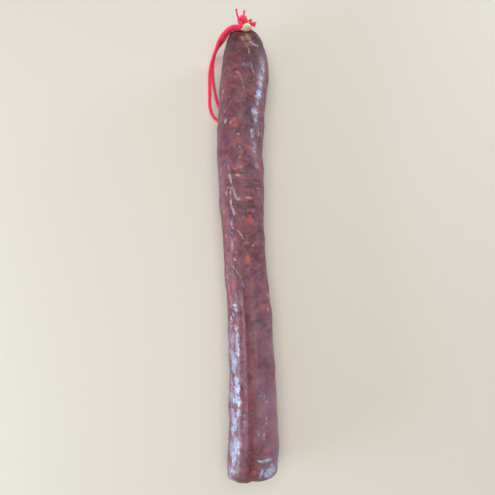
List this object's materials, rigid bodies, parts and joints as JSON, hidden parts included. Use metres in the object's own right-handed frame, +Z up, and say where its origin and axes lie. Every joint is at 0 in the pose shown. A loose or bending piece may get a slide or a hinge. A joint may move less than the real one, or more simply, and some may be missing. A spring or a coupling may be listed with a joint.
{
  "type": "cured sausage",
  "caption": "Long cured sausage in its natural casing, with a tied neck, a folded casing stub and a loop of red string for hanging.",
  "frame": {"origin": "middle of the underside of the sausage, on the surface it rests on", "axes": "+Y along the sausage towards the tied end, +Z up; the string loop lies on the -X side"},
  "size_m": [0.0709, 0.4492, 0.0443],
  "materials": {
    "casing": "dry natural casing, satin, over dark red meat marbled with fat",
    "string": "twisted cotton string, matt"
  },
  "bodies": {
    "root": {"sausage": "casing", "neck_tie": "string", "loop_knot": "string", "hanging_loop": "string", "string_end_left": "string", "string_end_middle": "string", "string_end_right": "string", "string_end_tuft": "string"}
  },
  "joints": []
}
